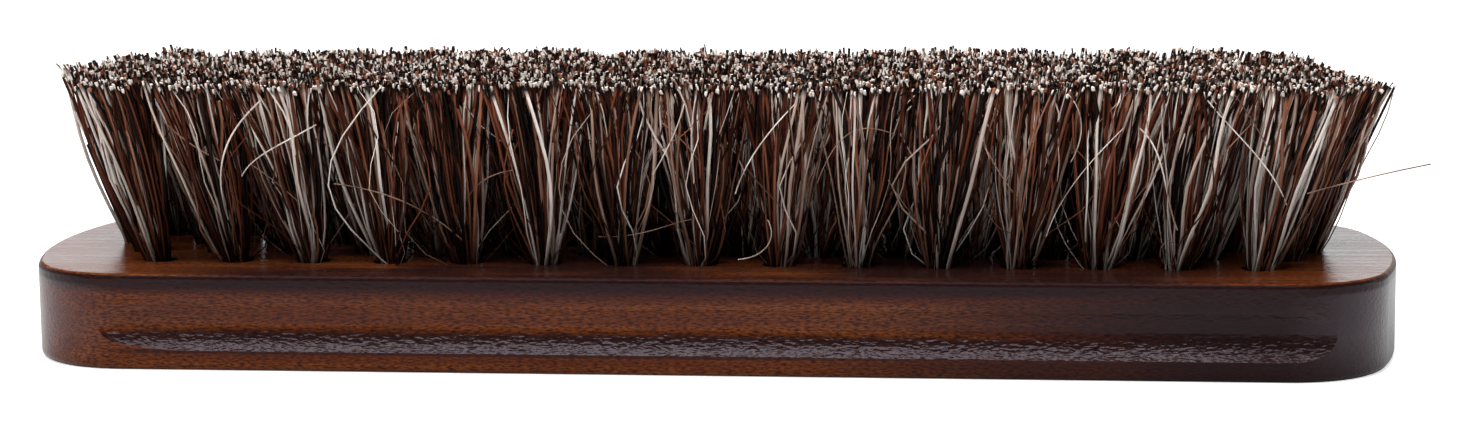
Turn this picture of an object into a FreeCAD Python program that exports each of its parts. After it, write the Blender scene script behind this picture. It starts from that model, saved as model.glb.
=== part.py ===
# Shoe shine brush lying on its back, bristles up: a one-piece wooden handle block with a finger
# groove along each long side, rows of drilled holes in its face, and a folded tuft of horsehair
# held in every hole by a wire staple. Millimetres. The origin is the middle of the block's flat
# back, +X runs along the block, +Y to its far side and +Z towards the bristle tips.
import FreeCAD, Part
import math
import os

# Handle block
BLOCK_LENGTH = 180.0
BLOCK_WIDTH = 52.0
BLOCK_HEIGHT = 12.6
END_BOW_RADIUS = 57.0
CORNER_RADIUS = 13.6
FACE_EDGE_ROUND = 0.7
BACK_EDGE_ROUND = 1.0

# Finger grooves: the land of plain side left under and over each, the cove between them, how far its
# straight run reaches from the middle, and the circle on which the cutter leaves the wood at each end
LOWER_LAND = 2.6
UPPER_LAND = 1.8
GROOVE_DEPTH = 1.6
GROOVE_FLOOR_RISE = 3.4
GROOVE_OVERCUT = 0.1
GROOVE_RUN_LEFT = 64.0
GROOVE_RUN_RIGHT = 76.0
GROOVE_EXIT_RADIUS = 63.0
GROOVE_EXIT_ANGLE = 25.0

# Tuft pattern on the face
EDGE_MARGIN = 11.5
ROW_PITCH = 7.25
TUFT_PITCH = 10.0
ROW_END_STEP = 3.5

# Holes and staples
HOLE_DIAMETER = 4.4
DRILL_POINT_ANGLE = 118.0
WOOD_UNDER_STAPLE = 2.4
STAPLE_BITE = 2.6
STAPLE_SPRING_RISE = 0.8
WIRE_DIAMETER = 0.8

# Horsehair tufts
BRISTLE_LENGTH = 23.9
SIDE_LEAN_ANGLE = 9.5
END_LEAN_ANGLE = 12.0

# Clearances
ROOT_CLEARANCE = 0.1
WIRE_CLEARANCE = 0.05
LEG_FIT = 0.02
TIP_CLEARANCE = 0.3
LEVEL_TOLERANCE = 0.001

# Worked out from the sizes above
HALF_LENGTH = BLOCK_LENGTH / 2
HALF_WIDTH = BLOCK_WIDTH / 2
HOLE_RADIUS = HOLE_DIAMETER / 2
WIRE_RADIUS = WIRE_DIAMETER / 2
ROOT_RADIUS = HOLE_RADIUS - ROOT_CLEARANCE
LEG_OFFSET = HOLE_RADIUS - WIRE_RADIUS - WIRE_CLEARANCE
HOLE_FLOOR = WOOD_UNDER_STAPLE + STAPLE_BITE
TRIM_LEVEL = BLOCK_HEIGHT + BRISTLE_LENGTH

UP = FreeCAD.Vector(0, 0, 1)
ALONG = FreeCAD.Vector(1, 0, 0)
ZONES = ("left", "middle", "right")


def point(x, y, z=0.0):
    return FreeCAD.Vector(x, y, z)


def arc_edge(start, middle, end):
    return Part.Arc(start, middle, end).toShape()


def line_edge(start, end):
    return Part.makeLine(start, end)


def turned(centre, radius, angle):
    """The point of a circle in the plan at an angle in radians."""
    return point(centre.x + radius * math.cos(angle), centre.y + radius * math.sin(angle))


def block_outline():
    """Plan of the block: straight sides, and at each end a shallow bow between two round corners."""
    bow_centre = HALF_LENGTH - END_BOW_RADIUS
    corner_y = HALF_WIDTH - CORNER_RADIUS
    corner_x = bow_centre + math.sqrt((END_BOW_RADIUS - CORNER_RADIUS) ** 2 - corner_y**2)
    bow_angle = math.atan2(corner_y, corner_x - bow_centre)
    half_turn = (math.pi / 2 + bow_angle) / 2
    edges = []
    for end in (1, -1):
        turn = 0.0 if end == 1 else math.pi
        low = point(end * corner_x, -end * corner_y)
        high = point(end * corner_x, end * corner_y)
        bow = point(end * bow_centre, 0)
        side_start = turned(low, CORNER_RADIUS, turn - math.pi / 2)
        bow_start = turned(low, CORNER_RADIUS, turn - bow_angle)
        bow_end = turned(high, CORNER_RADIUS, turn + bow_angle)
        side_end = turned(high, CORNER_RADIUS, turn + math.pi / 2)
        edges.append(arc_edge(side_start, turned(low, CORNER_RADIUS, turn - half_turn), bow_start))
        edges.append(arc_edge(bow_start, turned(bow, END_BOW_RADIUS, turn), bow_end))
        edges.append(arc_edge(bow_end, turned(high, CORNER_RADIUS, turn + half_turn), side_end))
        edges.append(line_edge(side_end, point(-side_end.x, side_end.y)))
    return Part.Wire(edges)


def edges_at(solid, level):
    return [e for e in solid.Edges if all(abs(v.Z - level) < LEVEL_TOLERANCE for v in e.Vertexes)]


def groove_cutter():
    """Bar that cuts the front groove: a round lower wall, the floor, and an ogee up to a soft lip.
    Both ends of the bar swing out of the wood."""
    low = LOWER_LAND
    floor = low + GROOVE_FLOOR_RISE
    high = BLOCK_HEIGHT - UPPER_LAND
    depth = GROOVE_DEPTH + GROOVE_OVERCUT
    face = -HALF_WIDTH - GROOVE_OVERCUT
    clear = face - GROOVE_DEPTH
    start_x = -GROOVE_RUN_LEFT
    run = ALONG * (GROOVE_RUN_LEFT + GROOVE_RUN_RIGHT)

    def at(inward, level):
        return point(start_x, face + inward, level)

    def on_circle(inward, level, radius, angle):
        return at(inward + radius * math.cos(angle), level + radius * math.sin(angle))

    lower_radius = (depth**2 + GROOVE_FLOOR_RISE**2) / (2 * depth)
    lower_end = math.atan2(-GROOVE_FLOOR_RISE, lower_radius - depth)
    ogee_rise = high - floor
    ogee_radius = (depth**2 + ogee_rise**2) / (4 * depth)
    lip_end = math.atan2(-ogee_rise, depth - 2 * ogee_radius)
    lip_sweep = lip_end + math.pi
    lip_top = at(0, high)
    inflection = on_circle(ogee_radius, high, ogee_radius, lip_end)
    deepest = at(depth, floor)
    lower_lip = at(0, low)
    profile = [
        arc_edge(lip_top, on_circle(ogee_radius, high, ogee_radius, lip_end - lip_sweep / 2), inflection),
        arc_edge(inflection, on_circle(depth - ogee_radius, floor, ogee_radius, lip_sweep / 2), deepest),
        arc_edge(deepest, on_circle(depth - lower_radius, floor, lower_radius, lower_end / 2), lower_lip),
        line_edge(lower_lip, point(start_x, clear, low)),
        line_edge(point(start_x, clear, low), point(start_x, clear, high)),
        line_edge(point(start_x, clear, high), lip_top),
    ]
    section = Part.Face(Part.Wire(profile))
    swing = point(start_x, -HALF_WIDTH - GROOVE_EXIT_RADIUS)
    left_end = section.revolve(swing, UP, GROOVE_EXIT_ANGLE)
    right_end = section.translated(run).revolve(swing + run, UP, -GROOVE_EXIT_ANGLE)
    return section.extrude(run).fuse([left_end, right_end])


def tuft_rows():
    """Hole centres, row by row from the front: the rows nearer the middle reach further out."""
    field = BLOCK_WIDTH - 2 * EDGE_MARGIN
    gaps_across = round(field / ROW_PITCH)
    rows = []
    for row in range(gaps_across + 1):
        y = field * (row / gaps_across - 0.5)
        rows_outside = min(row, gaps_across - row)
        steps_in = gaps_across // 2 - rows_outside
        span = BLOCK_LENGTH - 2 * (EDGE_MARGIN + ROW_END_STEP * steps_in)
        gaps_along = round(span / TUFT_PITCH)
        pitch = span / gaps_along
        stations = [point(span * (i / gaps_along - 0.5), y) for i in range(gaps_along + 1)]
        rows.append((stations, pitch))
    return rows, field / gaps_across


def drilled_space(radius, floor):
    """Round space from the block's face down to a drill point under the given floor."""
    point_drop = radius / math.tan(math.radians(DRILL_POINT_ANGLE / 2))
    corners = [
        point(0, 0, BLOCK_HEIGHT),
        point(radius, 0, BLOCK_HEIGHT),
        point(radius, 0, floor),
        point(0, 0, floor - point_drop),
    ]
    half = Part.Face(Part.makePolygon(corners + corners[:1]))
    return half.revolve(point(0, 0), UP, 360)


def staple(wire_radius):
    """Hairpin of round wire: a half-round crown across the hole and two legs down into the wood."""
    spring = HOLE_FLOOR + STAPLE_SPRING_RISE
    leg_top = point(0, LEG_OFFSET, spring)
    section = Part.Face(Part.Wire(Part.makeCircle(wire_radius, leg_top, UP)))
    crown = section.revolve(point(0, 0, spring), ALONG, 180)
    legs = [
        Part.makeCylinder(wire_radius, spring - WOOD_UNDER_STAPLE, point(0, y, WOOD_UNDER_STAPLE), UP)
        for y in (LEG_OFFSET, -LEG_OFFSET)
    ]
    return crown.fuse(legs).removeSplitter()


def staple_leg_holes():
    radius = WIRE_RADIUS + LEG_FIT
    foot = WOOD_UNDER_STAPLE - LEG_FIT
    return [
        Part.makeCylinder(radius, HOLE_FLOOR - foot, point(0, y, foot), UP)
        for y in (LEG_OFFSET, -LEG_OFFSET)
    ]


def tuft_root():
    """The folded end of a tuft: it fills the hole and makes room for the staple."""
    root = drilled_space(ROOT_RADIUS, HOLE_FLOOR + ROOT_CLEARANCE)
    return root.cut(staple(WIRE_RADIUS + WIRE_CLEARANCE))


def tuft_fan(station, tip, cell_length, cell_width):
    """The free hair: round where it leaves the hole, fanning out to its own cell of the trimmed tips."""
    foot = []
    head = []
    corners = [(-1, -1), (1, -1), (1, 1), (-1, 1)]
    diagonal = ROOT_RADIUS * math.sqrt(0.5)
    for (ax, ay), (bx, by) in zip(corners, corners[1:] + corners[:1]):
        middle = point((ax + bx) / 2, (ay + by) / 2) * ROOT_RADIUS
        foot.append(arc_edge(point(ax, ay) * diagonal, middle, point(bx, by) * diagonal))
        head.append(line_edge(
            point(ax * cell_length / 2, ay * cell_width / 2),
            point(bx * cell_length / 2, by * cell_width / 2),
        ))
    foot_wire = Part.Wire(foot)
    foot_wire.translate(station + UP * BLOCK_HEIGHT)
    head_wire = Part.Wire(head)
    head_wire.translate(tip + UP * TRIM_LEVEL)
    return Part.makeLoft([foot_wire, head_wire], True, True)


def handle_block(rows):
    block = Part.Face(block_outline()).extrude(UP * BLOCK_HEIGHT)
    block = block.makeFillet(FACE_EDGE_ROUND, edges_at(block, BLOCK_HEIGHT))
    block = block.makeFillet(BACK_EDGE_ROUND, edges_at(block, 0))
    front = groove_cutter()
    back = front.mirror(point(0, 0), point(0, 1))
    hole = drilled_space(HOLE_RADIUS, HOLE_FLOOR).fuse(staple_leg_holes())
    holes = [hole.translated(station) for stations, pitch in rows for station in stations]
    return block.cut([front, back]).cut(holes)


def tufts_of_row(stations, pitch, row_pitch, reach):
    """One row's tufts, each leaning out in step with its distance from the middle of the brush."""
    root = tuft_root()
    spread_x = 1 + BRISTLE_LENGTH * math.tan(math.radians(END_LEAN_ANGLE)) / reach.x
    spread_y = 1 + BRISTLE_LENGTH * math.tan(math.radians(SIDE_LEAN_ANGLE)) / reach.y
    cell_length = pitch * spread_x - TIP_CLEARANCE
    cell_width = row_pitch * spread_y - TIP_CLEARANCE
    tufts = []
    for station in stations:
        tip = point(station.x * spread_x, station.y * spread_y)
        fan = tuft_fan(station, tip, cell_length, cell_width)
        tufts.append(root.translated(station).fuse(fan).removeSplitter())
    return tufts


def in_zones(tufts):
    """A row's tufts as its left, middle and right third."""
    third = round(len(tufts) / len(ZONES))
    return zip(ZONES, (tufts[:third], tufts[third:-third], tufts[-third:]))


def save(name, solids):
    Part.makeCompound(solids).exportStep(os.path.join("parts", name + ".step"))


os.makedirs("parts", exist_ok=True)
tuft_layout, spacing = tuft_rows()
outermost = point(HALF_LENGTH - EDGE_MARGIN, HALF_WIDTH - EDGE_MARGIN)
save("handle_block", handle_block(tuft_layout).Solids)
one_staple = staple(WIRE_RADIUS)
for number, (row_stations, row_tuft_pitch) in enumerate(tuft_layout, start=1):
    row_tufts = tufts_of_row(row_stations, row_tuft_pitch, spacing, outermost)
    for zone, zone_tufts in in_zones(row_tufts):
        save(f"row_{number}_{zone}_tufts", zone_tufts)
    save(f"row_{number}_staples", [one_staple.translated(s) for s in row_stations])
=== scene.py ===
import math

import bmesh
import bpy
from mathutils import Matrix, Vector


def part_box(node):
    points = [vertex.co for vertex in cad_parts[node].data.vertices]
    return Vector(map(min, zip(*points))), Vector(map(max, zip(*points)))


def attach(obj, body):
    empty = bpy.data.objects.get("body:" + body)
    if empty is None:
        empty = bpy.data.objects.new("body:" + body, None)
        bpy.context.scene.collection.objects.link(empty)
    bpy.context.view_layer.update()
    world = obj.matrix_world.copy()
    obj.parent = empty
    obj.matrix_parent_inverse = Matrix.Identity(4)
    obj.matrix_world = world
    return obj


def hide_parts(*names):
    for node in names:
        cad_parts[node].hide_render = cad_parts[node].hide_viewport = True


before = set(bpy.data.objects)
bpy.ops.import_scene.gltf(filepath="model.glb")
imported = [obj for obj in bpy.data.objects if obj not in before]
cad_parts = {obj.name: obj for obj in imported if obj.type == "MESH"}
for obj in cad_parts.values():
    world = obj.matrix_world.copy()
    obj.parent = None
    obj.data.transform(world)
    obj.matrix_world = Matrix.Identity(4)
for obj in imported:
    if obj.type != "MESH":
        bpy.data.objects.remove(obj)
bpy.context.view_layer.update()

MM = 0.001
TUFT_NODES = sorted(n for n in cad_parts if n.endswith("_tufts"))
STAPLE_NODES = sorted(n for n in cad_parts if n.endswith("_staples"))

# Points of a CAD mesh closer than the first are one point, and closer than the second are on one level
WELD = 0.001 * MM
SAME_LEVEL = 0.01 * MM

# The photograph's camera, worked out from the outline of the block, with its angles in radians
IMAGE_WIDTH_PX = 1470
FOCAL_LENGTH_PX = 3179.5
SENSOR_WIDTH_MM = 36.0
CAMERA_DISTANCE = 425.4 * MM
CAMERA_AIM = Vector((3.05, 0.0, 16.64)) * MM
CAMERA_YAW = -0.0983
CAMERA_PITCH = 0.1545
CAMERA_ROLL = -0.0081
CAMERA_CLIP = 10 * MM

# The table's reach in metres, and how far it is lifted to white for the camera and in reflections
TABLE_REACH = 3.0
TABLE_LIFT = 0.7
REFLECTED_LIFT = 0.15

# The softbox over the brush, in metres and watts
SOFTBOX_PLACE = Vector((-0.1, -0.25, 0.68))
SOFTBOX_AIM = Vector((0, 0, 0.02))
SOFTBOX_WIDTH = 0.6
SOFTBOX_DEPTH = 0.4
SOFTBOX_WATTS = 9.5

# How bright the studio's walls are, and the shares of that which are left overhead and on matt surfaces
WALL_BEHIND = 1.75
WALL_IN_FRONT = 0.04
WALL_AT_SIDES = 2.2
OVERHEAD_SHARE = 0.3
MATT_SHARE = 0.3

# Gloss of the wax: thin along the sides, thick on the rounded ends, and rubbed off
THIN_WAX = 0.15
THICK_WAX = 0.5
RUBBED_WAX = 0.02

# Loose hairs that lie across the front tufts, in millimetres: the thickness of each, and the places
# it bends past, as the distance along the block and the height above the table
PALE_LOOSE_HAIRS = (
    (0.24, (-61.5, 18.5), (-62.5, 25.5), (-60.5, 30.5), (-55, 35)),
    (0.2, (-59, 24.5), (-57, 27.5), (-53, 29), (-48.5, 31.5)),
    (0.16, (-1, 34.5), (-2, 30.5), (-5.5, 25)),
    (0.2, (5, 22.5), (6.5, 27), (9.5, 31), (13, 34.5)),
    (0.16, (5, 13.5), (8.5, 14), (10.5, 16.5), (9, 19)),
    (0.14, (47, 36), (49.5, 33.5), (49, 30), (47.5, 27)),
    (0.15, (44.5, 17), (46, 22.5), (49.5, 27), (54, 31.5)),
    (0.2, (56, 31.5), (59.5, 28.5), (59, 23), (61, 18)),
    (0.16, (64, 35.5), (68, 30.5), (72.5, 27), (74.5, 21.5)),
)
BROWN_LOOSE_HAIRS = (
    (0.17, (-68.5, 32), (-65.5, 29), (-61.5, 26.5)),
    (0.14, (-57.5, 26), (-54, 24), (-51, 20)),
    (0.17, (-47, 23.5), (-40, 23), (-34.5, 20.5), (-30.5, 15.5)),
    (0.14, (-30, 21), (-28, 25), (-23.5, 25.5)),
    (0.14, (-4, 32), (-0.5, 29.5), (2, 24.5)),
    (0.11, (-13, 16.5), (-6, 16.5), (-2.5, 19.5), (0.5, 19)),
    (0.14, (6.5, 26), (9, 23), (11.5, 20)),
    (0.14, (15.5, 24), (18, 30.5), (20.5, 33), (25.5, 30.5)),
    (0.11, (24.5, 24.5), (26, 22), (28.5, 18.5)),
    (0.13, (36, 31), (38, 26), (41, 22)),
    (0.11, (36, 23.5), (37.5, 17.5), (40.5, 17.5)),
    (0.13, (59, 27), (57, 24), (54, 20)),
    (0.14, (70.5, 33), (68, 30.5), (65.5, 27)),
    (0.14, (67.5, 36), (70.5, 32), (72, 28.5)),
    (0.1, (61.5, 15.5), (60, 17.5), (58, 15.5), (59.5, 13), (61.5, 13.5)),
    (0.18, (77, 23), (84, 25.5), (92, 27)),
)

# The front of the tufts at table height, how it leans out with height, how far a loose hair's ends
# go in behind it, and the steps between two of its points and the order of its curve
TUFT_FRONT = -13.4 * MM
TUFT_FRONT_LEAN = -0.318
LOOSE_TUCK = 1.5 * MM
LOOSE_STEPS = 12
LOOSE_ORDER = 4

# Horsehair: how many hairs a tuft has, how thick they are and how far they start below the block's face.
# They are about twice as thick as real hair, so that fewer of them fill a tuft and each one shows
HAIRS_PER_TUFT = 240
HAIR_RADIUS = 0.16 * MM
GIRTH = (0.5, 1.75)
HAIR_POINTS = 9
HAIR_SIDES = 3
HAIR_SINK = 1.5 * MM

# The hairs of a tuft keep together in locks: how much of its lock's spot a hair takes at its foot and
# at its tip, how much of its lock's tone, and how far a lock's trim is off the level
LOCKS_PER_TUFT = 13
FOOT_PULL = 0.4
LOCK_PULL = 0.62
LOCK_TONE = 0.42
LOCK_TRIM = 0.45 * MM

# How far the hairs fill their hole and spread over their cell of the tips, and how each departs from that
FOOT_FILL = 0.76
TIP_SPREAD = 1.25
TRIM_SCATTER = 0.24 * MM
FAN_SCATTER = 1.8 * MM
HAIR_BOW = 1.05 * MM
BOW_HALF_WAVES = 1
HAIR_KINK = 0.32 * MM
KINK_HALF_WAVES = 3
SPLAY = (0.4, 1.1)

# Some hairs end short, and some are thin strays that lean and bow more, apart from those near the ends
SHORT_SHARE = 0.12
SHORTEST = 0.6
STRAY_SHARE = 0.07
STRAY_SPREAD = 0.4
STRAY_BOW = 3.2
STRAY_GIRTH = 0.5
STRAYS_WITHIN = 66 * MM

# Towards the ends, the tips of the hairs scatter less and less
CALM_FROM = 66 * MM
CALM_TO = 76 * MM
CALM_SHARE = 0.4

# The hair is worn lower at the right end, by the square of the way past this place
WEAR_START = 67 * MM
WEAR_PER_METRE = 4.5

# A hair's map: one strip for each tone, where a hair lies across its strip, where it starts and how far
# it runs along it, and how far one of its sides is moved, so that the cut end has width in the map too
TONE_COUNT = 128
STRIP_MARGIN = 0.2
STRIP_WIDTH = 0.6
MAP_START = 0.01
MAP_RUN = 0.96
CUT_END_OFFSET = 0.006
SIDE_TOLERANCE = 0.1

# Where a hair's colour changes along its map: painted shade at the root and where the tips stand close
# together, and the cut end, pale where split and partly a painted highlight, whose colour goes by groups of
# tones
ROOT_SHADE_ZONE = (0.05, 0.82)
PACKED_SHADE_ZONE = (0.925, 0.95)
CUT_ZONE = (0.952, 0.96)
CUT_GROUP = 3

# A hair's length, the length of the paler and darker patches along it, and how far apart two tones are
# in the pattern of these patches
HAIR_LENGTH = 25 * MM
HAIR_PATCH = 5 * MM
TONE_APART = 7.3

# What chance decides for each hair, from the lowest to the highest value. Each has a seed of its own, which
# counts up in this order from the seed of the hair's CAD node
HAIR_SEED = 57
NODE_SEED_STEP = 100
HAIR_CHANCES = (
    ("spot", (0, 0, 0), (1, math.tau, 1)),
    ("lock", (0, 0, 0), (LOCKS_PER_TUFT, 0, 0)),
    ("aside_once", (-1, -1, -1), (1, 1, 1)),
    ("aside_twice", (-1, -1, -1), (1, 1, 1)),
    ("bow_once", (-1, -1, 0), (1, 1, 0)),
    ("bow_twice", (-1, -1, 0), (1, 1, 0)),
    ("kink_once", (-1, -1, 0), (1, 1, 0)),
    ("kink_twice", (-1, -1, 0), (1, 1, 0)),
    ("traits", (0, 0, 0), (1, 1, 1)),
    ("tone", (0, 0, 0), (1, 0, 0)),
)

# What the hair's node tree is given, and the values that every hair carries through it
HAIR_SETTINGS = (
    ("Geometry", "Geometry"), ("Hairs per Tuft", "Int"), ("Foot Radius", "Float"), ("Hair Radius", "Float"),
    ("Trim Scatter", "Float"), ("Fan Scatter", "Float"), ("Bow", "Float"), ("Kink", "Float"),
    ("Seed", "Int"), ("Material", "Material"),
)
HAIR_VALUES = {
    "tuft": "INT", "tip": "FLOAT_VECTOR", "cell": "FLOAT_VECTOR", "foot": "FLOAT_VECTOR",
    "tip_end": "FLOAT_VECTOR", "bow": "FLOAT_VECTOR", "kink": "FLOAT_VECTOR", "reach": "FLOAT",
    "splay": "FLOAT", "girth": "FLOAT", "strand": "FLOAT", "along": "FLOAT", "across": "FLOAT",
}


def linear(hex_colour):
    """An sRGB hex colour as linear RGBA."""
    def channel(text):
        c = int(text, 16) / 255
        return c / 12.92 if c <= 0.04045 else ((c + 0.055) / 1.055) ** 2.4
    return (*(channel(hex_colour[i:i + 2]) for i in (1, 3, 5)), 1.0)


def add(tree, kind, inputs=None, **settings):
    """Adds a node with its settings. An input, by name or number, takes a value, a socket or a node."""
    made = tree.nodes.new(kind)
    for name, value in settings.items():
        setattr(made, name, value)
    for key, value in (inputs or {}).items():
        sockets = [s for s in made.inputs if s.enabled and s.name == key]
        socket = sockets[0] if sockets else made.inputs[key]
        if isinstance(value, bpy.types.Node):
            value = next(s for s in value.outputs if s.enabled)
        if isinstance(value, bpy.types.NodeSocket):
            tree.links.new(value, socket)
        else:
            socket.default_value = value
    return made


def new_material(name):
    """An empty material and its node tree."""
    material = bpy.data.materials.new(name)
    material.use_nodes = True
    material.node_tree.nodes.clear()
    return material, material.node_tree


def new_object(name, data):
    """An object in the scene."""
    made = bpy.data.objects.new(name, data)
    bpy.context.scene.collection.objects.link(made)
    return made


def give_material(mesh, material):
    """Makes a material the mesh's only one."""
    mesh.materials.clear()
    mesh.materials.append(material)


def set_stops(ramp, stops):
    """Fills a colour ramp with (position, hex colour) stops."""
    elements = ramp.color_ramp.elements
    while len(elements) < len(stops):
        elements.new(0.5)
    for element, (position, hex_colour) in zip(elements, stops):
        element.position = position
        element.color = linear(hex_colour)


def grain_patterns(tree, place):
    """Noises that run along the grain, each with its length and width in millimetres. Beech pores are about
    0.1 mm wide and would not show in the render, so they are drawn twice as wide."""
    patterns = {}
    for name, length, width, detail in (("streaks", 45, 1.3, 4), ("clouds", 30, 9, 3),
                                        ("pores", 0.75, 0.2, 2), ("dimples", 1.1, 0.45, 1)):
        stretch = (1 / (length * MM), 1 / (width * MM), 1 / (width * MM))
        mapped = add(tree, "ShaderNodeMapping", {"Vector": place, "Scale": stretch})
        patterns[name] = add(tree, "ShaderNodeTexNoise", {"Vector": mapped, "Scale": 1.0, "Detail": detail})
    return patterns


def glaze_and_painted_shade(tree, axes, upward, off_middle, clouds):
    """How dark the wood is made, and how much of that lies in the grooves. Towards both ends the dark is
    partly sprayed glaze and partly painted shade, and on the top face in front of the tufts it is the painted
    shadow of the hair that leans over it. The wood is also darker under the top edge, at the foot, more so
    on the right, and along the lower lip of the grooves, and glaze is left in the grooves. Each layer is a
    product of fades: what it goes by, where it starts, where it is full, and the most it gives."""
    side = (upward, 0.9, 0.6, 1.0)
    foot = (axes["Z"], 3.2 * MM, 2.2 * MM)
    layers = {
        # Towards both ends the dark is partly sprayed glaze and partly painted shade
        "right_end": (side, (axes["X"], 8 * MM, 66 * MM, 0.94)),
        "left_end": (side, (axes["X"], -40 * MM, -100 * MM, 0.45)),
        "edge": (side, (axes["Z"], 8.8 * MM, 11.2 * MM, 0.92)),
        # Painted shadow of the hair that leans over the top face, strongest in the middle and gone at the
        # ends
        "face": ((axes["Z"], 12.0 * MM, 12.4 * MM, 1.0), (clouds, 0.8, 0.45, 0.88),
                 (off_middle, 84 * MM, 52 * MM, 1.0)),
        "foot": (side, (*foot, 0.3)),
        "right_foot": (side, (*foot, 1.0), (axes["X"], -5 * MM, 45 * MM, 0.8)),
        "lip": (side, (axes["Z"], 2.0 * MM, 2.45 * MM, 1.0), (axes["Z"], 3.1 * MM, 2.75 * MM, 0.75),
                (off_middle, 82 * MM, 70 * MM, 1.0)),
        "groove": ((axes["Z"], 5.9 * MM, 4.5 * MM, 0.9), (upward, 0.02, 0.1, 1.0)),
    }
    masks = {}
    glaze_and_shade = None
    for name, fades in layers.items():
        layer = None
        for value, start, full, most in fades:
            fade = add(tree, "ShaderNodeMapRange", {"Value": value, "From Min": start, "From Max": full,
                                                    "To Max": most}, interpolation_type="SMOOTHSTEP")
            if layer is None:
                layer = fade
            else:
                layer = add(tree, "ShaderNodeMath", {0: layer, 1: fade}, operation="MULTIPLY")
        masks[name] = layer
        if glaze_and_shade is None:
            glaze_and_shade = layer
        else:
            glaze_and_shade = add(tree, "ShaderNodeMath", {0: glaze_and_shade, 1: layer}, operation="MAXIMUM")
    return glaze_and_shade, masks["groove"]


def wood_relief(tree, grain, groove):
    """The fine relief of the surface: the glaze in the grooves dried in dimples, then the streaks and the
    pores, each with its strength and its depth in millimetres."""
    deep = add(tree, "ShaderNodeMapRange", {"Value": groove, "To Min": 0.3, "To Max": 1.0})
    dimples = add(tree, "ShaderNodeMath", {0: grain["dimples"], 1: deep}, operation="MULTIPLY")
    relief = None
    for height, strength, depth in ((dimples, 0.9, 0.25), (grain["streaks"], 0.5, 0.08),
                                    (grain["pores"], 0.3, 0.04)):
        inputs = {"Height": height, "Strength": strength, "Distance": depth * MM}
        if relief is not None:
            inputs["Normal"] = relief
        relief = add(tree, "ShaderNodeBump", inputs)
    return relief


def wax_gloss(tree, axes, upward, off_middle, flat, groove):
    """The wax lies thickest on the rounded ends and thin near the table. It is rubbed off the rounded top
    edge and the ends of the grooves, which stay dull."""
    wax = add(tree, "ShaderNodeMapRange", {"Value": off_middle, "From Min": 74 * MM, "From Max": 86 * MM,
                                           "To Min": THIN_WAX, "To Max": THICK_WAX})
    low = add(tree, "ShaderNodeMapRange", {"Value": axes["Z"], "From Min": 0.5 * MM, "From Max": 5.5 * MM,
                                           "To Min": 0.3, "To Max": 1.0})
    low = add(tree, "ShaderNodeMix", {"Factor": groove, "A": low, "B": 1.0}, data_type="FLOAT")
    wax = add(tree, "ShaderNodeMath", {0: wax, 1: low}, operation="MULTIPLY")
    rubbed = add(tree, "ShaderNodeMapRange", {"Value": upward, "From Min": 0.1, "From Max": 0.3,
                                              "To Min": THIN_WAX, "To Max": RUBBED_WAX})
    below = add(tree, "ShaderNodeMapRange", {"Value": axes["Z"], "From Min": 11.3 * MM,
                                             "From Max": 10.9 * MM})
    waxed = add(tree, "ShaderNodeMath", {0: flat, 1: below}, operation="MAXIMUM")
    gloss = add(tree, "ShaderNodeMix", {"Factor": waxed, "A": rubbed, "B": wax}, data_type="FLOAT")
    groove_end = add(tree, "ShaderNodeMapRange", {"Value": off_middle, "From Min": 64 * MM,
                                                  "From Max": 82 * MM, "To Max": 0.9})
    groove_end = add(tree, "ShaderNodeMath", {0: groove_end, 1: groove}, operation="MULTIPLY")
    return add(tree, "ShaderNodeMix", {"Factor": groove_end, "A": gloss, "B": RUBBED_WAX}, data_type="FLOAT")


def walnut_stained_wood():
    """Beech under a walnut stain and waxed: darker towards both ends, partly sprayed glaze and partly painted
    shade, darker along the top edge, with the painted shadow of the hair on the top face, red-brown streaks
    along the grain, fine pores, and a soft sheen that the pores break into specks."""
    material, tree = new_material("walnut_stained_beech")
    seen = add(tree, "ShaderNodeTexCoord").outputs
    axes = add(tree, "ShaderNodeSeparateXYZ", {"Vector": seen["Object"]}).outputs
    upward = add(tree, "ShaderNodeSeparateXYZ", {"Vector": seen["Normal"]}).outputs["Z"]
    off_middle = add(tree, "ShaderNodeMath", {0: axes["X"]}, operation="ABSOLUTE")
    flat = add(tree, "ShaderNodeMapRange", {"Value": upward, "From Min": 0.97, "From Max": 0.99})

    # The stain, with dark pores, under the glaze and the painted shade
    grain = grain_patterns(tree, seen["Object"])
    tone = add(tree, "ShaderNodeMix", {"Factor": 0.4, "A": grain["streaks"], "B": grain["clouds"]},
               data_type="FLOAT")
    stain = add(tree, "ShaderNodeValToRGB", {"Fac": tone})
    set_stops(stain, [(0.3, "#52260f"), (0.5, "#6b3517"), (0.7, "#824a22")])
    pore_mask = add(tree, "ShaderNodeMapRange", {"Value": grain["pores"], "From Min": 0.35, "From Max": 0.62})
    pored = add(tree, "ShaderNodeMix", {"Factor": pore_mask, "A": linear("#371508"), "B": stain},
                data_type="RGBA")
    # The glaze and the painted shade share one dark colour
    glaze_and_shade, groove = glaze_and_painted_shade(tree, axes, upward, off_middle, grain["clouds"])
    colour = add(tree, "ShaderNodeMix", {"Factor": glaze_and_shade, "A": pored, "B": linear("#140c0f")},
                 data_type="RGBA")

    # The wax lies in streaks on the flat top face and evenly elsewhere
    streaky = add(tree, "ShaderNodeMapRange", {"Value": tone, "From Min": 0.35, "From Max": 0.65,
                                               "To Min": 0.17, "To Max": 0.31})
    rough = add(tree, "ShaderNodeMix", {"Factor": flat, "A": 0.27, "B": streaky}, data_type="FLOAT")
    gloss = wax_gloss(tree, axes, upward, off_middle, flat, groove)
    relief = wood_relief(tree, grain, groove)
    shader = add(tree, "ShaderNodeBsdfPrincipled", {"Base Color": colour, "Roughness": rough,
                                                    "Normal": relief, "Specular IOR Level": gloss,
                                                    "Specular Tint": linear("#f2e6f6")})
    add(tree, "ShaderNodeOutputMaterial", {"Surface": shader})
    return material


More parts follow.
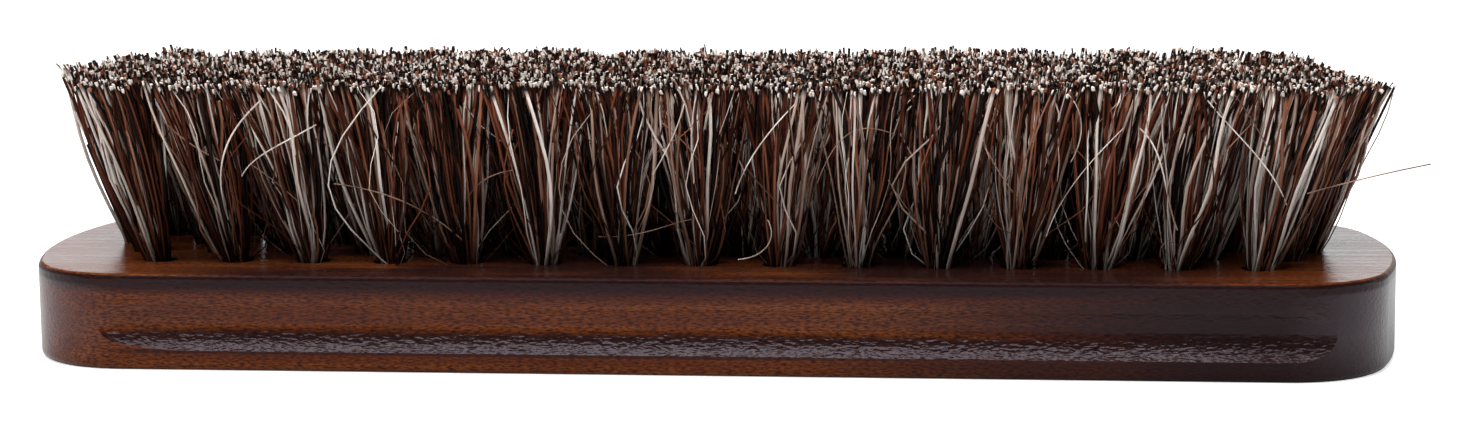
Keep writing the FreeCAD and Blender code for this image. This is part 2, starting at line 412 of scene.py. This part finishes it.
def horsehair():
    """Natural horsehair, mixed: every strand has one tone between black, red-brown, grey and cream,
    with painted shade at the root and just below the tips, a little uneven along its length, with a soft
    gloss.
    Some of the cut ends are pale, partly as split ends and partly as a painted highlight of the light from
    above, and the others dark or brown."""
    material, tree = new_material("mixed_horsehair")
    strip = add(tree, "ShaderNodeUVMap", uv_map="OFBake")
    axes = add(tree, "ShaderNodeSeparateXYZ", {"Vector": strip}).outputs
    slot = add(tree, "ShaderNodeMath", {0: axes["X"], 1: float(TONE_COUNT)}, operation="MULTIPLY")
    slot = add(tree, "ShaderNodeMath", {0: slot}, operation="FLOOR")
    tone = add(tree, "ShaderNodeMath", {0: slot, 1: TONE_COUNT - 1.0}, operation="DIVIDE")
    tones = add(tree, "ShaderNodeValToRGB", {"Fac": tone})
    set_stops(tones, [(0.1, "#080403"), (0.34, "#20100b"), (0.47, "#55281a"), (0.55, "#8c4f38"),
                      (0.62, "#986c57"), (0.72, "#d8c5b8"), (0.84, "#fdf2ea")])

    # Shade along the hair: uneven patches, then painted shade at the root and on the closely packed tips
    run = add(tree, "ShaderNodeCombineXYZ", {0: slot, 1: axes["Y"]})
    stretch = (TONE_APART, HAIR_LENGTH / HAIR_PATCH, 1.0)
    stretched = add(tree, "ShaderNodeMapping", {"Vector": run, "Scale": stretch})
    uneven = add(tree, "ShaderNodeTexNoise", {"Vector": stretched, "Scale": 1.0, "Detail": 2.0})
    shade = add(tree, "ShaderNodeMapRange", {"Value": uneven, "From Min": 0.3, "From Max": 0.7,
                                             "To Min": 0.7, "To Max": 1.15})
    for (start, stop), first, last in ((ROOT_SHADE_ZONE, 0.34, 1.0), (PACKED_SHADE_ZONE, 1.0, 0.3)):
        zone = add(tree, "ShaderNodeMapRange", {"Value": axes["Y"], "From Min": start, "From Max": stop,
                                                "To Min": first, "To Max": last})
        shade = add(tree, "ShaderNodeMath", {0: shade, 1: zone}, operation="MULTIPLY")
    colour = add(tree, "ShaderNodeVectorMath", {0: tones, 1: shade}, operation="MULTIPLY")

    # The cut ends: pale where split, and partly a painted highlight where they face the light above
    group = add(tree, "ShaderNodeMath", {0: slot, 1: 1 / CUT_GROUP}, operation="MULTIPLY")
    group = add(tree, "ShaderNodeMath", {0: group}, operation="FLOOR")
    chance = add(tree, "ShaderNodeTexWhiteNoise", {"W": group}, noise_dimensions="1D").outputs["Value"]
    ends = add(tree, "ShaderNodeValToRGB", {"Fac": chance})
    set_stops(ends, [(0.42, "#120705"), (0.48, "#7a402b"), (0.56, "#b5785c"), (0.61, "#fff3e9")])
    end = add(tree, "ShaderNodeMapRange", {"Value": axes["Y"], "From Min": CUT_ZONE[0],
                                           "From Max": CUT_ZONE[1], "To Max": 0.95})
    colour = add(tree, "ShaderNodeMix", {"Factor": end, "A": colour, "B": ends}, data_type="RGBA")
    shader = add(tree, "ShaderNodeBsdfPrincipled", {"Base Color": colour, "Roughness": 0.45,
                                                    "Specular IOR Level": 0.07})
    add(tree, "ShaderNodeOutputMaterial", {"Surface": shader})
    return material


def single_horsehair(name, dull, light):
    """Single horsehair: light and duller patches along its length, with a soft gloss."""
    material, tree = new_material(name)
    place = add(tree, "ShaderNodeTexCoord").outputs["Object"]
    patches = add(tree, "ShaderNodeTexNoise", {"Vector": place, "Scale": 1 / (6 * MM), "Detail": 1.0})
    tones = add(tree, "ShaderNodeValToRGB", {"Fac": patches})
    set_stops(tones, [(0.35, dull), (0.65, light)])
    shader = add(tree, "ShaderNodeBsdfPrincipled", {"Base Color": tones, "Roughness": 0.4})
    add(tree, "ShaderNodeOutputMaterial", {"Surface": shader})
    return material


def drawn_steel_wire():
    """Bright drawn steel wire: grey metal, unevenly dulled by handling."""
    material, tree = new_material("drawn_steel_wire")
    place = add(tree, "ShaderNodeTexCoord").outputs["Object"]
    patches = add(tree, "ShaderNodeTexNoise", {"Vector": place, "Scale": 1 / (0.4 * MM), "Detail": 2.0})
    rough = add(tree, "ShaderNodeMapRange", {"Value": patches, "To Min": 0.2, "To Max": 0.5})
    shader = add(tree, "ShaderNodeBsdfPrincipled", {"Base Color": linear("#b4b2ae"), "Metallic": 1.0,
                                                    "Roughness": rough})
    add(tree, "ShaderNodeOutputMaterial", {"Surface": shader})
    return material


def tuft_shells(node_name):
    """The points of each tuft of a CAD node. Points that edges join belong to one tuft."""
    shell = bmesh.new()
    shell.from_mesh(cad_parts[node_name].data)
    bmesh.ops.remove_doubles(shell, verts=shell.verts, dist=WELD)
    unseen = set(shell.verts)
    tufts = []
    while unseen:
        front = [unseen.pop()]
        tuft = []
        while front:
            vert = front.pop()
            tuft.append(vert.co.copy())
            for edge in vert.link_edges:
                other = edge.other_vert(vert)
                if other in unseen:
                    unseen.remove(other)
                    front.append(other)
        tufts.append(tuft)
    shell.free()
    return tufts


def level_corners(points, level):
    """The lowest and the highest corner of the box round the points on one level."""
    ring = [p for p in points if abs(p.z - level) < SAME_LEVEL]
    return [Vector((pick(p.x for p in ring), pick(p.y for p in ring), ring[0].z)) for pick in (min, max)]


def tuft_places(node_name):
    """Each tuft of a node: the middle of its foot on the block's face, and its cell of the trimmed tips."""
    face_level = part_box("handle_block")[1].z
    places = []
    for tuft in tuft_shells(node_name):
        low_foot, high_foot = level_corners(tuft, face_level)
        low_tip, high_tip = level_corners(tuft, max(p.z for p in tuft))
        places.append({"foot": (low_foot + high_foot) / 2, "radius": (high_foot.x - low_foot.x) / 2,
                       "tip": (low_tip + high_tip) / 2, "cell": (high_tip - low_tip) / 2})
    return sorted(places, key=lambda p: p["foot"].x)


def hair_chances(tree, seed):
    """The chance values of each hair."""
    rolls = {}
    for number, (name, low, high) in enumerate(HAIR_CHANCES):
        own_seed = add(tree, "ShaderNodeMath", {0: seed, 1: float(number)}, operation="ADD")
        rolls[name] = add(tree, "FunctionNodeRandomValue", {"Min": low, "Max": high, "Seed": own_seed},
                          data_type="FLOAT_VECTOR")
    return rolls


def hair_lock(tree, seed, tuft, roll):
    """The number of the lock that a hair belongs to, and the chance values that the lock's hairs share."""
    lock = add(tree, "ShaderNodeSeparateXYZ", {0: roll}).outputs["X"]
    lock = add(tree, "ShaderNodeMath", {0: lock}, operation="FLOOR")
    lock = add(tree, "ShaderNodeMath", {0: tuft, 1: float(LOCKS_PER_TUFT), 2: lock}, operation="MULTIPLY_ADD")
    shared = add(tree, "FunctionNodeRandomValue", {"Min": (0, 0, 0), "Max": (1, math.tau, 1), "ID": lock,
                                                   "Seed": seed}, data_type="FLOAT_VECTOR")
    return lock, shared


def hair_spots(tree, own_roll, lock_roll):
    """Spots in a circle of radius 1, for a hair's foot and for its tip: its own, pulled to its lock's."""
    spots = []
    for roll in (own_roll, lock_roll):
        parts = add(tree, "ShaderNodeSeparateXYZ", {0: roll}).outputs
        out = add(tree, "ShaderNodeMath", {0: parts["X"]}, operation="SQRT")
        out = add(tree, "ShaderNodeCombineXYZ", {0: out})
        spots.append(add(tree, "ShaderNodeVectorRotate", {"Vector": out, "Angle": parts["Y"]},
                         rotation_type="Z_AXIS"))
    return [add(tree, "ShaderNodeMix", {"Factor": pull, "A": spots[0], "B": spots[1]}, data_type="VECTOR")
            for pull in (FOOT_PULL, LOCK_PULL)]


def stray_hairs(tree, roll, off_middle):
    """1 for a stray and 0 for any other hair."""
    stray = add(tree, "ShaderNodeSeparateXYZ", {0: roll}).outputs["Z"]
    stray = add(tree, "ShaderNodeMath", {0: stray, 1: 1.0 - STRAY_SHARE}, operation="GREATER_THAN")
    off_ends = add(tree, "ShaderNodeMath", {0: off_middle, 1: STRAYS_WITHIN}, operation="LESS_THAN")
    return add(tree, "ShaderNodeMath", {0: stray, 1: off_ends}, operation="MULTIPLY")


def hair_swings(tree, given, rolls, stray, off_middle):
    """How far a hair's tip lies aside, and how far the hair bows and kinks. Two rolls add up, so that most
    hairs keep near the middle."""
    calm = add(tree, "ShaderNodeMapRange", {"Value": off_middle, "From Min": CALM_FROM, "From Max": CALM_TO,
                                            "To Min": 1.0, "To Max": CALM_SHARE})
    swings = {}
    for name, sizes, extra, held in (
            ("aside", ("Fan Scatter", "Fan Scatter", "Trim Scatter"), STRAY_SPREAD, calm),
            ("bow", ("Bow", "Bow", "Bow"), STRAY_BOW, 1.0),
            ("kink", ("Kink", "Kink", "Kink"), STRAY_BOW, 1.0)):
        swing = add(tree, "ShaderNodeVectorMath", {0: rolls[name + "_once"], 1: rolls[name + "_twice"]},
                    operation="ADD")
        size = add(tree, "ShaderNodeCombineXYZ", {i: given[s] for i, s in enumerate(sizes)})
        sized = add(tree, "ShaderNodeVectorMath", {0: swing, 1: size}, operation="MULTIPLY")
        more = add(tree, "ShaderNodeMath", {0: stray, 1: extra, 2: 1.0}, operation="MULTIPLY_ADD")
        more = add(tree, "ShaderNodeMath", {0: more, 1: held}, operation="MULTIPLY")
        sideways = add(tree, "ShaderNodeCombineXYZ", {0: more, 1: more, 2: 1.0})
        swings[name] = add(tree, "ShaderNodeVectorMath", {0: sized, 1: sideways}, operation="MULTIPLY")
    return swings


def worn_tips(tree, seed, tip, lock):
    """Tips at the height that wear and the lock's own trim leave them."""
    past = add(tree, "ShaderNodeSeparateXYZ", {0: tip}).outputs["X"]
    past = add(tree, "ShaderNodeMath", {0: past, 1: WEAR_START}, operation="SUBTRACT")
    past = add(tree, "ShaderNodeMath", {0: past, 1: 0.0}, operation="MAXIMUM")
    square = add(tree, "ShaderNodeMath", {0: past, 1: past}, operation="MULTIPLY")
    trim = add(tree, "FunctionNodeRandomValue", {"Min": -LOCK_TRIM, "Max": LOCK_TRIM, "ID": lock,
                                                 "Seed": seed}, data_type="FLOAT")
    change = add(tree, "ShaderNodeMath", {0: square, 1: -WEAR_PER_METRE, 2: trim}, operation="MULTIPLY_ADD")
    change = add(tree, "ShaderNodeCombineXYZ", {2: change})
    return add(tree, "ShaderNodeVectorMath", {0: tip, 1: change}, operation="ADD")


def hair_traits(tree, given, rolls, lock_roll, stray):
    """How much of its way a hair reaches, how soon it splays, its girth, and the strip of its tone."""
    traits = add(tree, "ShaderNodeSeparateXYZ", {0: rolls["traits"]}).outputs
    reach = add(tree, "ShaderNodeMapRange", {"Value": traits["X"], "From Min": 1.0 - SHORT_SHARE,
                                             "From Max": 1.0, "To Min": 1.0, "To Max": SHORTEST})
    splay = add(tree, "ShaderNodeMapRange", {"Value": traits["Y"], "To Min": SPLAY[0], "To Max": SPLAY[1]})
    girth = add(tree, "ShaderNodeMapRange", {"Value": traits["Z"], "To Min": GIRTH[0], "To Max": GIRTH[1]})
    thinned = add(tree, "ShaderNodeMix", {"Factor": stray, "A": 1.0, "B": STRAY_GIRTH}, data_type="FLOAT")
    for factor in (thinned, given["Hair Radius"]):
        girth = add(tree, "ShaderNodeMath", {0: girth, 1: factor}, operation="MULTIPLY")
    lock_tone = add(tree, "ShaderNodeSeparateXYZ", {0: lock_roll}).outputs["Z"]
    own_tone = add(tree, "ShaderNodeSeparateXYZ", {0: rolls["tone"]}).outputs["X"]
    tone = add(tree, "ShaderNodeMix", {"Factor": LOCK_TONE, "A": own_tone, "B": lock_tone}, data_type="FLOAT")
    strand = add(tree, "ShaderNodeMath", {0: tone, 1: float(TONE_COUNT)}, operation="MULTIPLY")
    strand = add(tree, "ShaderNodeMath", {0: strand}, operation="FLOOR")
    return {"reach": reach, "splay": splay, "girth": girth, "strand": strand}


def hair_plan(tree, given, own):
    """What makes each hair its own: where it leaves the hole, where it meets the trimmed level, how it bends,
    and its traits."""
    seed = given["Seed"]
    rolls = hair_chances(tree, seed)
    lock, lock_roll = hair_lock(tree, seed, own["tuft"], rolls["lock"])
    low, high = hair_spots(tree, rolls["spot"], lock_roll)
    middle = add(tree, "GeometryNodeInputPosition")
    foot = add(tree, "ShaderNodeVectorMath", {0: low, 1: given["Foot Radius"], 2: middle},
               operation="MULTIPLY_ADD")
    aim = add(tree, "ShaderNodeVectorMath", {0: high, 1: own["cell"], 2: own["tip"]},
              operation="MULTIPLY_ADD")
    off_middle = add(tree, "ShaderNodeSeparateXYZ", {0: own["tip"]}).outputs["X"]
    off_middle = add(tree, "ShaderNodeMath", {0: off_middle}, operation="ABSOLUTE")
    stray = stray_hairs(tree, rolls["spot"], off_middle)
    swings = hair_swings(tree, given, rolls, stray, off_middle)
    tip = add(tree, "ShaderNodeVectorMath", {0: aim, 1: swings["aside"]}, operation="ADD")
    return {"foot": foot, "tip_end": worn_tips(tree, seed, tip, lock), "bow": swings["bow"],
            "kink": swings["kink"], **hair_traits(tree, given, rolls, lock_roll, stray)}


def bent_hairs(tree, hairs, own):
    """One straight line of points for each hair, then bent from foot to tip."""
    line = add(tree, "GeometryNodeCurvePrimitiveLine")
    line = add(tree, "GeometryNodeResampleCurve", {"Curve": line, "Count": HAIR_POINTS})
    curves = add(tree, "GeometryNodeInstanceOnPoints", {"Points": hairs, "Instance": line})
    curves = add(tree, "GeometryNodeRealizeInstances", {"Geometry": curves})
    along = add(tree, "GeometryNodeSplineParameter").outputs["Factor"]
    rise = add(tree, "ShaderNodeMath", {0: along, 1: own["reach"]}, operation="MULTIPLY")
    bend = add(tree, "ShaderNodeMix", {"Factor": rise, "A": own["splay"], "B": 1.0}, data_type="FLOAT")
    lean = add(tree, "ShaderNodeMath", {0: bend, 1: rise}, operation="MULTIPLY")
    share = add(tree, "ShaderNodeCombineXYZ", {0: lean, 1: lean, 2: rise})
    path = add(tree, "ShaderNodeMix", {"Factor": share, "A": own["foot"], "B": own["tip_end"]},
               data_type="VECTOR", factor_mode="NON_UNIFORM", clamp_factor=False)
    for name, half_waves in (("bow", BOW_HALF_WAVES), ("kink", KINK_HALF_WAVES)):
        wave = add(tree, "ShaderNodeMath", {0: rise, 1: half_waves * math.pi}, operation="MULTIPLY")
        wave = add(tree, "ShaderNodeMath", {0: wave}, operation="SINE")
        path = add(tree, "ShaderNodeVectorMath", {0: own[name], 1: wave, 2: path}, operation="MULTIPLY_ADD")
    curves = add(tree, "GeometryNodeSetPosition", {"Geometry": curves, "Position": path})
    return add(tree, "GeometryNodeStoreNamedAttribute", {"Geometry": curves, "Name": "along", "Value": rise})


def hair_tubes(tree, curves, material, own):
    """The bent lines as thin tubes, with a map that has one strip for each tone, from foot to tip."""
    around = add(tree, "GeometryNodeSplineParameter").outputs["Factor"]
    ring = add(tree, "GeometryNodeCurvePrimitiveCircle", {"Resolution": HAIR_SIDES, "Radius": 1.0})
    ring = add(tree, "GeometryNodeStoreNamedAttribute", {"Geometry": ring, "Name": "across", "Value": around})
    tubes = add(tree, "GeometryNodeCurveToMesh", {"Curve": curves, "Profile Curve": ring,
                                                  "Scale": own["girth"], "Fill Caps": True})
    in_strip = add(tree, "ShaderNodeMath", {0: own["across"], 1: STRIP_WIDTH, 2: STRIP_MARGIN},
                   operation="MULTIPLY_ADD")
    strip = add(tree, "ShaderNodeMath", {0: own["strand"], 1: in_strip}, operation="ADD")
    strip = add(tree, "ShaderNodeMath", {0: strip, 1: float(TONE_COUNT)}, operation="DIVIDE")
    one_side = add(tree, "ShaderNodeMath", {0: own["across"], 1: 1.0 / HAIR_SIDES, 2: SIDE_TOLERANCE},
                   operation="COMPARE")
    run = add(tree, "ShaderNodeMath", {0: own["along"], 1: MAP_RUN, 2: MAP_START}, operation="MULTIPLY_ADD")
    run = add(tree, "ShaderNodeMath", {0: one_side, 1: CUT_END_OFFSET, 2: run}, operation="MULTIPLY_ADD")
    flat = add(tree, "ShaderNodeCombineXYZ", {0: strip, 1: run})
    tubes = add(tree, "GeometryNodeStoreNamedAttribute", {"Geometry": tubes, "Name": "OFBake", "Value": flat},
                data_type="FLOAT2", domain="CORNER")
    tubes = add(tree, "GeometryNodeSetShadeSmooth", {"Geometry": tubes})
    tubes = add(tree, "GeometryNodeRealizeInstances", {"Geometry": tubes})
    return add(tree, "GeometryNodeSetMaterial", {"Geometry": tubes, "Material": material})


def horsehair_tree():
    """Grows a fan of cut hairs from every point: round at its foot, spread over its cell of the tips."""
    tree = bpy.data.node_groups.new("horsehair_tufts", "GeometryNodeTree")
    for name, kind in HAIR_SETTINGS:
        tree.interface.new_socket(name=name, in_out="INPUT", socket_type="NodeSocket" + kind)
    tree.interface.new_socket(name="Geometry", in_out="OUTPUT", socket_type="NodeSocketGeometry")
    given = add(tree, "NodeGroupInput").outputs
    own = {}
    for name, kind in HAIR_VALUES.items():
        own[name] = add(tree, "GeometryNodeInputNamedAttribute", {"Name": name}, data_type=kind)
    tuft = add(tree, "GeometryNodeInputIndex")
    hairs = add(tree, "GeometryNodeStoreNamedAttribute",
                {"Geometry": given["Geometry"], "Name": "tuft", "Value": tuft}, data_type=HAIR_VALUES["tuft"])
    hairs = add(tree, "GeometryNodeDuplicateElements", {"Geometry": hairs, "Amount": given["Hairs per Tuft"]},
                domain="POINT")
    for name, value in hair_plan(tree, given, own).items():
        hairs = add(tree, "GeometryNodeStoreNamedAttribute",
                    {"Geometry": hairs, "Name": name, "Value": value}, data_type=HAIR_VALUES[name])
    tubes = hair_tubes(tree, bent_hairs(tree, hairs, own), given["Material"], own)
    add(tree, "NodeGroupOutput", {"Geometry": tubes})
    return tree


def tufts_piece(node_name, tree, material, seed):
    """The hair of one CAD node's tufts as one plain mesh."""
    places = tuft_places(node_name)
    feet = bpy.data.meshes.new(node_name + "_feet")
    feet.from_pydata([p["foot"] - Vector((0, 0, HAIR_SINK)) for p in places], [], [])
    for name, spread in (("tip", 1.0), ("cell", TIP_SPREAD)):
        layer = feet.attributes.new(name, "FLOAT_VECTOR", "POINT")
        for item, place in zip(layer.data, places):
            item.vector = place[name] * spread
    piece = new_object(node_name.replace("_tufts", "_hair"), feet)
    grow = piece.modifiers.new("grow_hair", "NODES")
    grow.node_group = tree
    sizes = {"Hairs per Tuft": HAIRS_PER_TUFT, "Foot Radius": places[0]["radius"] * FOOT_FILL,
             "Hair Radius": HAIR_RADIUS, "Trim Scatter": TRIM_SCATTER, "Fan Scatter": FAN_SCATTER,
             "Bow": HAIR_BOW, "Kink": HAIR_KINK, "Seed": seed, "Material": material}
    for item in tree.interface.items_tree:
        if item.in_out == "INPUT" and item.name in sizes:
            grow[item.identifier] = sizes[item.name]
    graph = bpy.context.evaluated_depsgraph_get()
    grown = bpy.data.meshes.new_from_object(piece.evaluated_get(graph))
    piece.modifiers.clear()
    piece.data = grown
    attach(piece, "root")
    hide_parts(node_name)


def on_tuft_front(along, height, tuck):
    """A place on the leaning front of the tufts, or a little behind it."""
    return Vector((along, TUFT_FRONT + TUFT_FRONT_LEAN * height + tuck, height))


def loose_hairs_piece(name, hairs, material):
    """Single hairs lying across the tufts, each a thin round arc with its ends tucked in."""
    arcs = bpy.data.curves.new(name, "CURVE")
    arcs.dimensions = "3D"
    # Half a millimetre, which a point's radius multiplies, so that radius is the thickness in millimetres
    arcs.bevel_depth = MM / 2
    arcs.bevel_resolution = 0
    arcs.resolution_u = LOOSE_STEPS
    arcs.use_fill_caps = True
    for thickness, *places in hairs:
        spline = arcs.splines.new("NURBS")
        spline.points.add(len(places) - 1)
        for point, place in zip(spline.points, places):
            tuck = LOOSE_TUCK if place in (places[0], places[-1]) else 0.0
            point.co = (*on_tuft_front(place[0] * MM, place[1] * MM, tuck), 1.0)
            point.radius = thickness
        spline.use_endpoint_u = True
        spline.order_u = min(LOOSE_ORDER, len(places))
    holder = new_object(name + "_curve", arcs)
    graph = bpy.context.evaluated_depsgraph_get()
    mesh = bpy.data.meshes.new_from_object(holder.evaluated_get(graph))
    bpy.data.objects.remove(holder)
    piece = new_object(name, mesh)
    give_material(mesh, material)
    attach(piece, "root")


def white_table():
    """White paper under the brush: the camera and reflections see it lifted to white, and it keeps the soft
    shadow."""
    sheet = bpy.data.meshes.new("white_table")
    corners = [(x * TABLE_REACH, y * TABLE_REACH, 0) for x, y in ((-1, -1), (1, -1), (1, 1), (-1, 1))]
    sheet.from_pydata(corners, [], [(0, 1, 2, 3)])
    table = new_object("white_table", sheet)
    material, tree = new_material("white_paper_sheet")
    path = add(tree, "ShaderNodeLightPath").outputs
    lift = add(tree, "ShaderNodeMath", {0: path["Is Glossy Ray"], 1: REFLECTED_LIFT}, operation="MULTIPLY")
    lift = add(tree, "ShaderNodeMath", {0: path["Is Camera Ray"], 1: TABLE_LIFT, 2: lift},
               operation="MULTIPLY_ADD")
    matt = add(tree, "ShaderNodeBsdfDiffuse", {"Color": linear("#e6e6e6")})
    glow = add(tree, "ShaderNodeEmission", {"Strength": lift})
    both = add(tree, "ShaderNodeAddShader", {0: matt, 1: glow})
    add(tree, "ShaderNodeOutputMaterial", {"Surface": both})
    give_material(sheet, material)


def overhead_softbox():
    """One wide soft light over the brush."""
    lamp = bpy.data.lights.new("overhead_softbox", "AREA")
    lamp.shape = "RECTANGLE"
    lamp.size = SOFTBOX_WIDTH
    lamp.size_y = SOFTBOX_DEPTH
    lamp.energy = SOFTBOX_WATTS
    box = new_object("overhead_softbox", lamp)
    box.location = SOFTBOX_PLACE
    box.rotation_euler = (SOFTBOX_AIM - SOFTBOX_PLACE).to_track_quat("-Z", "Y").to_euler()


def studio_walls():
    """Walls that are bright behind the brush and at its sides, dark on the camera's side, and plain white
    to the camera."""
    world = bpy.data.worlds.new("white_studio")
    bpy.context.scene.world = world
    world.use_nodes = True
    tree = world.node_tree
    tree.nodes.clear()
    way = add(tree, "ShaderNodeTexCoord").outputs["Generated"]
    axes = add(tree, "ShaderNodeSeparateXYZ", {"Vector": way}).outputs
    behind = add(tree, "ShaderNodeMapRange", {"Value": axes["Y"], "From Min": -0.7, "From Max": 0.95,
                                              "To Min": WALL_IN_FRONT, "To Max": WALL_BEHIND})
    above = add(tree, "ShaderNodeMapRange", {"Value": axes["Z"], "From Min": 0.2, "From Max": 0.6,
                                             "To Min": 1.0, "To Max": OVERHEAD_SHARE})
    level = add(tree, "ShaderNodeMath", {0: behind, 1: above}, operation="MULTIPLY")
    sideways = add(tree, "ShaderNodeMath", {0: axes["X"]}, operation="ABSOLUTE")
    sideways = add(tree, "ShaderNodeMapRange", {"Value": sideways, "From Min": 0.6, "To Max": WALL_AT_SIDES})
    level = add(tree, "ShaderNodeMath", {0: level, 1: sideways}, operation="ADD")
    path = add(tree, "ShaderNodeLightPath").outputs
    share = add(tree, "ShaderNodeMix", {"Factor": path["Is Glossy Ray"], "A": MATT_SHARE, "B": 1.0},
                data_type="FLOAT")
    level = add(tree, "ShaderNodeMath", {0: level, 1: share}, operation="MULTIPLY")
    level = add(tree, "ShaderNodeMix", {"Factor": path["Is Camera Ray"], "A": level, "B": 1.0},
                data_type="FLOAT")
    walls = add(tree, "ShaderNodeBackground", {"Strength": level})
    add(tree, "ShaderNodeOutputWorld", {"Surface": walls})


def photo_camera():
    """The photograph's camera, turned by its yaw, pitch and roll and looking at its aim."""
    flat_ahead = Vector((math.sin(CAMERA_YAW), math.cos(CAMERA_YAW), 0.0))
    ahead = flat_ahead * math.cos(CAMERA_PITCH) - Vector((0, 0, math.sin(CAMERA_PITCH)))
    level = Vector((math.cos(CAMERA_YAW), -math.sin(CAMERA_YAW), 0.0))
    turn = Matrix((level, level.cross(ahead), -ahead)).transposed() @ Matrix.Rotation(CAMERA_ROLL, 3, "Z")
    lens = bpy.data.cameras.new("photo_camera")
    lens.sensor_width = SENSOR_WIDTH_MM
    lens.lens = SENSOR_WIDTH_MM * FOCAL_LENGTH_PX / IMAGE_WIDTH_PX
    lens.clip_start = CAMERA_CLIP
    camera = new_object("photo_camera", lens)
    camera.matrix_world = Matrix.Translation(CAMERA_AIM - ahead * CAMERA_DISTANCE) @ turn.to_4x4()
    bpy.context.scene.camera = camera


photo_camera()
studio_walls()
overhead_softbox()
white_table()
give_material(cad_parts["handle_block"].data, walnut_stained_wood())
wire = drawn_steel_wire()
for staple_node in STAPLE_NODES:
    give_material(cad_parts[staple_node].data, wire)
hair = horsehair()
hair_tree = horsehair_tree()
for number, tuft_node in enumerate(TUFT_NODES):
    tufts_piece(tuft_node, hair_tree, hair, HAIR_SEED + NODE_SEED_STEP * number)
pale_hair = single_horsehair("pale_horsehair", "#a08878", "#f4eae2")
loose_hairs_piece("pale_loose_hairs", PALE_LOOSE_HAIRS, pale_hair)
brown_hair = single_horsehair("brown_horsehair", "#4a2c20", "#94745f")
loose_hairs_piece("brown_loose_hairs", BROWN_LOOSE_HAIRS, brown_hair)
bpy.context.scene.view_settings.view_transform = "Standard"
